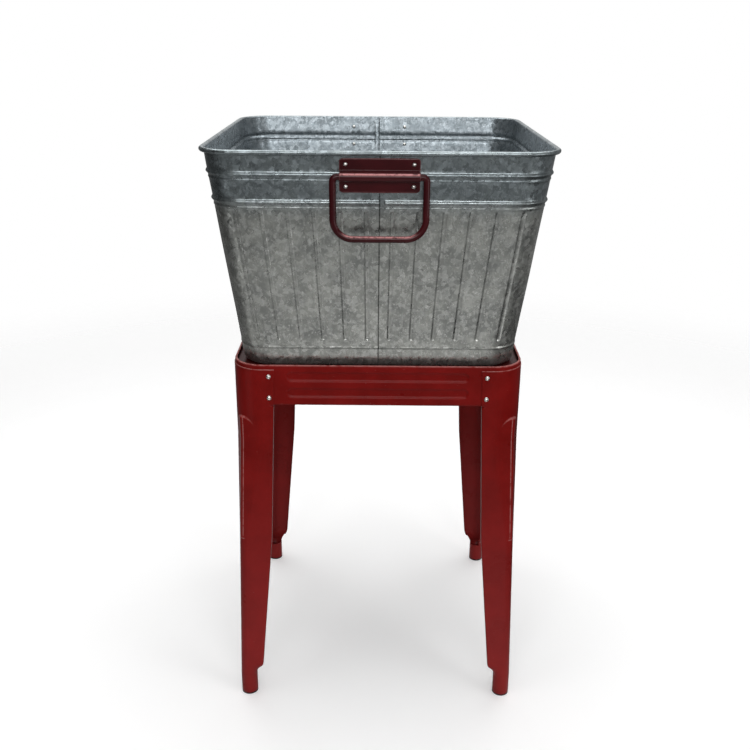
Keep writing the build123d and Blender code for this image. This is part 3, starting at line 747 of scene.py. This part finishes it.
def make_plates():
    """Handle plates: one pressing with the barrel across its middle, laid on the leaning wall."""
    profile = plate_profile()
    v, w, _ = profile.T
    past = np.clip(np.abs(v) - (PLATE_REACH - PLATE_CORNER), 0, PLATE_CORNER)
    reach = PLATE_HALF - PLATE_CORNER + np.sqrt(PLATE_CORNER**2 - past**2)
    share = spread(np.linspace(-1, -0.92, 5), np.linspace(-0.86, 0.86, 25), np.linspace(0.92, 1, 5))
    outward = np.array((0, -math.cos(WALL_TILT), -math.sin(WALL_TILT)))
    upward = np.array((0, -math.sin(WALL_TILT), math.cos(WALL_TILT)))
    origin = np.array(PIVOT) - STAND_OFF * outward
    grid = origin + v[:, None, None] * upward + w[:, None, None] * outward
    grid = np.repeat(grid, len(share), axis=1)
    grid[..., 0] += reach[:, None] * share
    inner = grid - grid_normals(grid) * PLATE_SHEET
    outer, inner = rounded_edge(*rounded_edge(grid, inner, 0), 1)
    rows, count = outer.shape[:2]
    faces = sheet_faces(rows, count)
    # Painted highlight along the barrel's crest, and the plate's edges a little worn.
    highlight_and_rub = np.zeros((rows, count))
    highlight_and_rub[1:-1] = profile[:, 2:]
    highlight_and_rub[:2] = highlight_and_rub[-2:] = 0.15
    highlight_and_rub[:, :2] = highlight_and_rub[:, -2:] = 0.15
    points = np.concatenate([outer, inner]).reshape(-1, 3)
    for name, half_turns in (("handle_plate_front", 0), ("handle_plate_back", 2)):
        make_piece(
            name + "_pressing",
            turned(points, half_turns),
            faces,
            (MAROON,),
            "tub",
            (name,),
            painted_light_and_wear=np.concatenate([highlight_and_rub, highlight_and_rub * 0]).ravel(),
        )


def rounded_path(corners, radii, step):
    """Points and tangents along a polyline in the XZ plane whose corners are arcs."""
    points, tangents = [], []
    corners = [np.array(c, float) for c in corners]

    def run(a, b):
        length = np.linalg.norm(b - a)
        along = (b - a) / length
        for t in np.linspace(0, 1, max(2, int(length / step))):
            points.append(a + (b - a) * t)
            tangents.append(along)

    start = corners[0]
    for before, corner, after, radius in zip(corners, corners[1:], corners[2:], radii):
        arriving = (corner - before) / np.linalg.norm(corner - before)
        leaving = (after - corner) / np.linalg.norm(after - corner)
        turn = math.acos(np.clip(arriving @ leaving, -1, 1))
        cut = radius * math.tan(turn / 2)
        run(start, corner - arriving * cut)
        towards = leaving - arriving * (arriving @ leaving)
        towards = towards / np.linalg.norm(towards)
        centre = corner - arriving * cut + towards * radius
        for angle in np.linspace(0, turn, 2 + int(turn / math.radians(7)))[1:-1]:
            points.append(centre - towards * radius * math.cos(angle) + arriving * radius * math.sin(angle))
            tangents.append(arriving * math.cos(angle) + towards * math.sin(angle))
        start = corner + leaving * cut
    run(start, corners[-1])
    return np.array(points), np.array(tangents)


def make_bails():
    """Each bail: a bent round rod with chamfered ends, hanging in its barrel."""
    side = BAIL_HALF - BAIL_ROD
    corners = [(-BAIL_END, 0), (-side, 0), (-side, -BAIL_DROP), (side, -BAIL_DROP), (side, 0), (BAIL_END, 0)]
    path, tangents = rounded_path(corners, (BAIL_SHOULDER, BAIL_BEND, BAIL_BEND, BAIL_SHOULDER), 5 * MM)
    around = np.linspace(0, 2 * np.pi, 28, endpoint=False)
    past, cut = 0.5 * MM, 0.6 * MM
    path = np.concatenate([path[:1] - tangents[:1] * past, path, path[-1:] + tangents[-1:] * past])
    tangents = np.concatenate([tangents[:1], tangents, tangents[-1:]])
    radii = np.full(len(path), BAIL_ROD)
    radii[[0, -1]] -= cut
    sideways = np.stack([-tangents[:, 1], tangents[:, 0]], axis=1)
    x = path[:, None, 0] + sideways[:, None, 0] * np.cos(around) * radii[:, None]
    z = path[:, None, 1] + sideways[:, None, 1] * np.cos(around) * radii[:, None]
    y = -np.sin(around) * radii[:, None]
    grid = np.stack([x + PIVOT.x, y + PIVOT.y, z + PIVOT.z], axis=-1)
    rows, count = grid.shape[:2]
    faces = []
    for i in range(rows - 1):
        for j in range(count):
            k = (j + 1) % count
            faces.append(((i + 1) * count + j, (i + 1) * count + k, i * count + k, i * count + j))
    faces.append(tuple(range(count)))
    faces.append(tuple(range((rows - 1) * count, rows * count))[::-1])
    # Painted highlight along the top front of the grip.
    grip = fade(np.abs(tangents[:, 0]), 0.7, 1.0) * fade(-path[:, 1], BAIL_DROP / 2, BAIL_DROP - 5 * MM)
    highlight_and_rub = grip[:, None] * bump(around - math.radians(40), 0.55)
    for name, half_turns, body in (("bail_front", 0, "front_handle"), ("bail_back", 2, "back_handle")):
        points = turned(grid.reshape(-1, 3), half_turns)
        make_piece(
            name + "_rod", points, faces, (MAROON,), body, (name,), painted_light_and_wear=highlight_and_rub.ravel()
        )


# ---- Stand -----------------------------------------------------------------------------------
def make_apron():
    """Apron band with soft-edged channels and its top edge turned in."""
    near = np.linspace(-1.25, 1.25, 15)
    z = spread(
        APRON_BOTTOM,
        APRON_BOTTOM + 3 * MM,
        *[APRON_TOP - drop + near * CHANNEL_REACH for drop in CHANNEL_DROPS],
        APRON_TOP - 3 * MM,
        APRON_TOP - 1.5 * MM,
    )
    bend = 1.5 * MM
    arc = np.radians(np.linspace(0, 90, 6)[1:])
    heights = np.concatenate([z, APRON_TOP - bend + bend * np.sin(arc), [APRON_TOP]])[:, None]
    outs = np.concatenate([np.zeros(len(z)), bend * (np.cos(arc) - 1), [-APRON_LIP]])[:, None]
    ends = np.linspace(CHANNEL_HALF - 1.6 * CHANNEL_REACH, CHANNEL_HALF + 3 * MM, 17)
    flat = APRON_HALF - APRON_CORNER
    places = spread(np.linspace(0, 118, 14) * MM / flat, ends / flat, 0.9, 1.0)
    columns = side_columns(places, np.radians(np.linspace(0, 45, 10)[1:]), 0, 4)
    side, place, turn = columns.T
    along = np.abs(place * flat) + APRON_CORNER * np.abs(turn)
    past = np.maximum(along - (CHANNEL_HALF - CHANNEL_REACH), 0)
    relief = np.zeros((len(heights), len(columns)))
    for drop in CHANNEL_DROPS:
        distance = np.hypot(past, heights - (APRON_TOP - drop))
        relief -= CHANNEL_DEPTH * (1 - fade(distance, CHANNEL_REACH - 3.2 * MM, CHANNEL_REACH + 0.6 * MM))
    base = plan_points(columns.T, flat, APRON_CORNER, outs, heights)
    calm = fade(APRON_TOP - heights, 2 * MM, 10 * MM) * fade(150 * MM - along, 0, 20 * MM)
    relief += wobble(base, 0.12 * MM, 3) * calm
    outer = plan_points(columns.T, flat, APRON_CORNER, outs + relief, heights)
    inner = outer - grid_normals_ring(outer) * STAND_SHEET
    outer, inner = rounded_edge(outer, inner, 0)
    rows, count = outer.shape[:2]
    faces = sheet_faces(rows, count, ring=True)
    # Painted highlight along the top edge, fainter on the inside.
    highlight_and_rub = bump(outer[..., 2] - (APRON_TOP - 0.3 * MM), 1.6 * MM) * 0.4
    points = np.concatenate([outer, inner]).reshape(-1, 3)
    painted_light_and_wear = np.concatenate([highlight_and_rub, highlight_and_rub * 0.3]).ravel()
    make_piece(
        "apron_band_pressing", points, faces, (RED,), "stand", ("apron_band",), painted_light_and_wear=painted_light_and_wear
    )


def leg_corner_points(along, half, radius, z, drawn, foot):
    """Points on an L-shaped plan round the front right corner; along is negative on the front face.

    drawn pulls the corner out to its ridge, and foot bends what is past the corner on to the foot's circle.
    """
    turn = np.clip(along / radius, -1, 1) * math.pi / 4
    reach = radius * (1 + drawn * (1 / np.cos(np.maximum(RIDGE_TURN - np.abs(turn), 0)) - 1))
    turn = turn + math.pi / 4
    past = np.maximum(np.abs(along) - radius, 0)
    x = half - radius + reach * np.sin(turn) - np.where(along < 0, past, 0)
    y = -(half - radius) - reach * np.cos(turn) + np.where(along > 0, past, 0)
    bent = turn + np.sign(along) * past / radius
    x = x + (half - radius + radius * np.sin(bent) - x) * foot
    y = y + (-(half - radius) - radius * np.cos(bent) - y) * foot
    return np.stack(np.broadcast_arrays(x, y, z), axis=-1)


def leg_rows():
    """Heights of the leg's rows, close together at the notch, the bend and the arch."""
    return spread(
        NOTCH_BOTTOM + np.array((0, 0.15, 1.5)) * MM,
        np.linspace(NOTCH_BOTTOM + 4 * MM, NOTCH_TOP - 3 * MM, 5),
        np.linspace(NOTCH_TOP - 1.5 * MM, NOTCH_TOP + 3 * MM, 4),
        np.linspace(NOTCH_TOP + 5 * MM, FOOT_BLEND_TOP, 4),
        np.linspace(66, 290, 20) * MM,
        np.linspace(LEG_BEND_Z - 4 * MM, LEG_BEND_Z + 5 * MM, 13),
        np.linspace(312, 462, 14) * MM,
        np.linspace(CORNER_TAPER_TOP, ARCH_TOP + 4 * MM, 46),
        np.linspace(ARCH_TOP + 8 * MM, APRON_BOTTOM - 8 * MM, 3),
        np.linspace(APRON_BOTTOM - 5 * MM, APRON_BOTTOM - 1 * MM, 5),
        np.linspace(APRON_BOTTOM + 3 * MM, LEG_TOP - 4 * MM, 4),
        LEG_TOP - np.array((2.0, 1.0, 0)) * MM,
    )


def leg_columns(z, half, wrap):
    """Columns' distance from the corner's middle and depth behind the face, where wrap bends the edge in."""
    quarter = RETURN_BEND * math.pi / 2
    unrolled = quarter + RETURN_DEPTH - RETURN_BEND
    edge = np.interp(z, *np.array(LEG_EDGES).T)
    main_end = half - edge - wrap * RETURN_BEND - (1 - wrap) * unrolled
    near = np.linspace(0, 9.1, 14) * MM
    far = near[-1] + np.linspace(0, 1, 36)[1:] * (main_end - near[-1])
    extra = np.concatenate([np.array((0.25, 0.5, 0.75, 1.0)) * quarter, (quarter + 3 * MM, unrolled)])
    angle = np.minimum(extra / RETURN_BEND, math.pi / 2)
    bent_along = RETURN_BEND * np.sin(angle)
    bent_in = RETURN_BEND * (1 - np.cos(angle)) + np.maximum(extra - quarter, 0)
    tail = main_end + wrap * bent_along + (1 - wrap) * extra
    along = np.concatenate([near + 0 * z, far, tail], axis=1)
    inward = np.pad(wrap * bent_in, ((0, 0), (len(near) + far.shape[1], 0)))
    along = np.concatenate([-along[:, :0:-1], along], axis=1)
    return along, np.concatenate([inward[:, :0:-1], inward], axis=1)


def leg_painted_highlights(z, along, reach):
    """Painted highlights beside the ridge, at the bend, on the arch's crown and on the top edge."""
    beside_ridge = bump(np.abs(along) - RIDGE_HIGHLIGHT_LINE, 1.1 * MM)
    beside_ridge = beside_ridge * fade(z, LEG_BEND_Z, LEG_BEND_Z + 6 * MM) * fade(ARCH_TOP - z, 0, 6 * MM)
    at_bend = bump(z - LEG_BEND_Z, 1.4 * MM) * (1 - fade(np.abs(along), 4 * MM, 9 * MM))
    crown = bump(reach - ARCH_REACH + 1 * MM, 1.2 * MM) * fade(z, ARCH_SPRING + 8 * MM, ARCH_TOP - 2 * MM)
    return beside_ridge * 0.55 + at_bend * 0.8 + crown * 0.3 + bump(z - LEG_TOP, 1.3 * MM) * 0.4


def make_legs():
    """Each leg: an L-shaped pressing with bent-in edges, an arched ridge on its corner and a round foot."""
    z = leg_rows()[:, None]
    half = np.interp(z, (NOTCH_BOTTOM, LEG_BEND_Z), (FOOT_HALF, LEG_HALF))
    corner = np.interp(z, (LEG_BEND_Z, CORNER_TAPER_TOP), (FOOT_RADIUS, LEG_CORNER))
    wrap = fade(z, NOTCH_TOP - 2 * MM, NOTCH_TOP + 1 * MM) * fade(APRON_BOTTOM - z, 1 * MM, 4 * MM)
    along, inward = leg_columns(z, half, wrap)
    sideways = corner * np.sin(np.clip(np.abs(along) / corner, 0, 1) * math.pi / 4)
    reach = np.hypot(sideways, np.maximum(z - ARCH_SPRING, 0))
    panel = 1 - fade(reach, ARCH_REACH - ARCH_FADE, ARCH_REACH)
    panel = panel * fade(z, LEG_BEND_Z - 1 * MM, LEG_BEND_Z + 1 * MM)
    foot = 1 - fade(z, NOTCH_BOTTOM, FOOT_BLEND_TOP)
    outer = leg_corner_points(along, half, corner, z, panel, foot)
    outer[..., 1] += np.where(along < 0, inward, 0)
    outer[..., 0] -= np.where(along > 0, inward, 0)
    inner = outer - grid_normals(outer) * STAND_SHEET
    outer, inner = rounded_edge(outer, inner, 0, "last")
    outer, inner = rounded_edge(outer, inner, 1)
    # Painted highlights on the leg's outer face.
    highlight_and_rub = np.pad(leg_painted_highlights(z, along, reach), ((0, 1), (1, 1)), mode="edge")
    points = np.concatenate([outer, inner]).reshape(-1, 3)
    tube_points, tube_faces = foot_tube(len(points))
    points = np.concatenate([points, tube_points])
    faces = sheet_faces(*outer.shape[:2]) + tube_faces
    painted_light_and_wear = np.clip(np.concatenate([highlight_and_rub.ravel(), highlight_and_rub.ravel() * 0, np.zeros(len(tube_points))]), 0, 1)
    for turn, place in enumerate(("front_right", "back_right", "back_left", "front_left")):
        name = "leg_" + place
        make_piece(
            name + "_pressing", turned(points, turn), faces, (RED,), "stand", (name,), painted_light_and_wear=painted_light_and_wear
        )


def foot_tube(first):
    """Round foot of the front right leg: an open tube with its lower end rounded."""
    middle = FOOT_HALF - FOOT_RADIUS
    soft = 0.35 * MM
    around = np.linspace(0, 2 * np.pi, 40, endpoint=False)
    bore = FOOT_RADIUS - STAND_SHEET
    profile = [
        (FOOT_RADIUS - soft, TUBE_LOW),
        (FOOT_RADIUS, TUBE_LOW + soft),
        (FOOT_RADIUS, TUBE_LOW + 6 * MM),
        (FOOT_RADIUS, NOTCH_BOTTOM - 6 * MM),
        (FOOT_RADIUS, NOTCH_BOTTOM - 0.15 * MM),
        (FOOT_RADIUS, NOTCH_BOTTOM),
        (bore, NOTCH_BOTTOM),
        (bore, TUBE_LOW + soft),
        (bore + soft, TUBE_LOW),
    ]
    points = [(middle + r * math.cos(a), -middle + r * math.sin(a), z) for r, z in profile for a in around]
    faces = []
    count, rings = len(around), len(profile)
    for i in range(rings):
        for j in range(count):
            k = (j + 1) % count
            n = (i + 1) % rings
            quad = (i * count + j, i * count + k, n * count + k, n * count + j)
            faces.append(tuple(first + v for v in quad))
    return np.array(points), faces


# ---- CAD nodes that stay ---------------------------------------------------------------------
def finish_nodes():
    """Materials for the nodes that show as the CAD made them."""
    finishes = {
        "tub_seat_frame": SHADED_RED,
        "rim_wire": STEEL,
        "foot_plug": RUBBER,
        "leg_screws": STEEL,
        "leg_nuts": STEEL,
        "handle_rivets": STEEL,
    }
    for name, node in frame["nodes"].items():
        for start, material in finishes.items():
            if name.startswith(start):
                for place in node.material_slots:
                    place.material = material


# ---- Stage -----------------------------------------------------------------------------------
CAMERA_LENS = 44.85
CAMERA_PLACE = (-0.0044, -1.5365, 1.0781)
CAMERA_DOWN = math.radians(20.61)
CAMERA_ROLL = math.radians(0.437)


def make_floor():
    """Pale floor that fades into the white surroundings, and is dimmer where the zinc mirrors it."""
    radius = 2.6
    rings, count = 24, 96
    points = [(0.0, 0.0, 0.0)]
    for i in range(1, rings + 1):
        for j in range(count):
            angle = 2 * math.pi * j / count
            points.append((radius * i / rings * math.cos(angle), radius * i / rings * math.sin(angle), 0.0))
    faces = [(0, 1 + j, 1 + (j + 1) % count) for j in range(count)]
    for i in range(rings - 1):
        for j in range(count):
            k = (j + 1) % count
            a, b = 1 + i * count, 1 + (i + 1) * count
            faces.append((a + j, b + j, b + k, a + k))
    mesh = bpy.data.meshes.new("floor")
    mesh.from_pydata(points, [], faces)
    floor = bpy.data.objects.new("floor", mesh)
    bpy.context.scene.collection.objects.link(floor)
    n = Nodes("floor_paint")
    length = n.node("ShaderNodeVectorMath", operation="LENGTH")
    n.link(n.place, length.inputs[0])
    n.link(n.remap(length.outputs["Value"], 1.2, 2.5, 1.0, 0.0), n.shader.inputs["Alpha"])
    seen = n.node("ShaderNodeLightPath").outputs["Is Camera Ray"]
    dim = n.mix(n.remap(length.outputs["Value"], 0.5, 1.3), (0.60, 0.60, 0.60), (0.47, 0.47, 0.47))
    across = n.node("ShaderNodeSeparateXYZ")
    n.link(n.place, across.inputs[0])
    x, y = across.outputs[0], across.outputs[1]
    right = n.math("MULTIPLY", n.remap(x, 0.2, 0.55), n.remap(y, -1.2, -0.9))
    left = n.math("MULTIPLY", n.remap(x, -0.95, -0.65, 1.0, 0.0), n.remap(y, -0.7, -0.4))
    for beside in (right, left):
        dim = n.mix(beside, dim, (0.03, 0.03, 0.03))
    dim = n.mix(n.remap(x, -0.6, 0.4, 0.6, 0.0), dim, (0.2, 0.2, 0.2))
    n.link((1.0, 1.0, 1.0, 1.0), n.shader.inputs["Emission Color"])
    n.link(n.math("MULTIPLY", seen, 0.16), n.shader.inputs["Emission Strength"])
    color = n.mix(seen, dim, (0.88, 0.88, 0.88))
    mesh.materials.append(n.finish(color, 0.9, n.bumped(n.noise(8)["Fac"], 0.1 * MM, 0.1), specular=0.1))


def make_world():
    """White behind everything, and a dimmer room for the light that falls on the object."""
    world = bpy.data.worlds.new("studio")
    world.use_nodes = True
    tree = world.node_tree
    background = tree.nodes["Background"]
    rays = tree.nodes.new("ShaderNodeLightPath")
    pick = tree.nodes.new("ShaderNodeMix")
    pick.data_type = "RGBA"
    towards = tree.nodes.new("ShaderNodeSeparateXYZ")
    tree.links.new(tree.nodes.new("ShaderNodeTexCoord").outputs["Generated"], towards.inputs[0])
    shade = tree.nodes.new("ShaderNodeMapRange")
    for socket, value in zip(shade.inputs[1:5], (-0.85, -0.35, 0.05, 0.21)):
        socket.default_value = value
    tree.links.new(towards.outputs[0], shade.inputs[0])
    tree.links.new(shade.outputs[0], pick.inputs[6])
    pick.inputs[7].default_value = (1, 1, 1, 1)
    tree.links.new(rays.outputs["Is Camera Ray"], pick.inputs["Factor"])
    tree.links.new(pick.outputs[2], background.inputs["Color"])
    bpy.context.scene.world = world


def add_light(name, place, target, size, power):
    """Rectangular area light, hidden from the camera, that points at target."""
    light = bpy.data.lights.new(name, "AREA")
    light.shape = "RECTANGLE"
    light.size, light.size_y = size
    light.energy = power
    lamp = bpy.data.objects.new(name, light)
    lamp.location = place
    lamp.rotation_euler = (Vector(target) - Vector(place)).to_track_quat("-Z", "Y").to_euler()
    lamp.visible_camera = False
    bpy.context.scene.collection.objects.link(lamp)


def make_lights():
    middle = (0, 0, 0.6)
    add_light("top_softbox", (0, 0.3, 3.0), middle, (3.4, 3.0), 90)
    add_light("front_softbox", (0, -2.6, 1.75), middle, (2.2, 1.1), 34)
    add_light("left_softbox", (-1.2, -0.75, 0.15), (0, -0.25, 0.75), (0.5, 0.5), 0.4)
    add_light("right_softbox", (2.6, -1.9, 1.0), middle, (1.2, 1.6), 14)
    add_light("back_softbox", (0, 2.8, 1.8), middle, (3.0, 1.6), 9)


def make_camera():
    """Camera a little above the rim, looking down at the stand."""
    camera = bpy.data.cameras.new("camera")
    camera.lens = CAMERA_LENS
    camera.sensor_width = 36
    holder = bpy.data.objects.new("camera", camera)
    pitch = Matrix.Rotation(math.pi / 2 - CAMERA_DOWN, 4, "X")
    roll = Matrix.Rotation(CAMERA_ROLL, 4, "Z")
    holder.matrix_world = Matrix.Translation(CAMERA_PLACE) @ pitch @ roll
    bpy.context.scene.collection.objects.link(holder)
    bpy.context.scene.camera = holder


make_tub_walls()
make_pan()
make_plates()
make_bails()
make_apron()
make_legs()
finish_nodes()
make_floor()
make_world()
make_lights()
make_camera()
bpy.context.scene.view_settings.view_transform = "Standard"
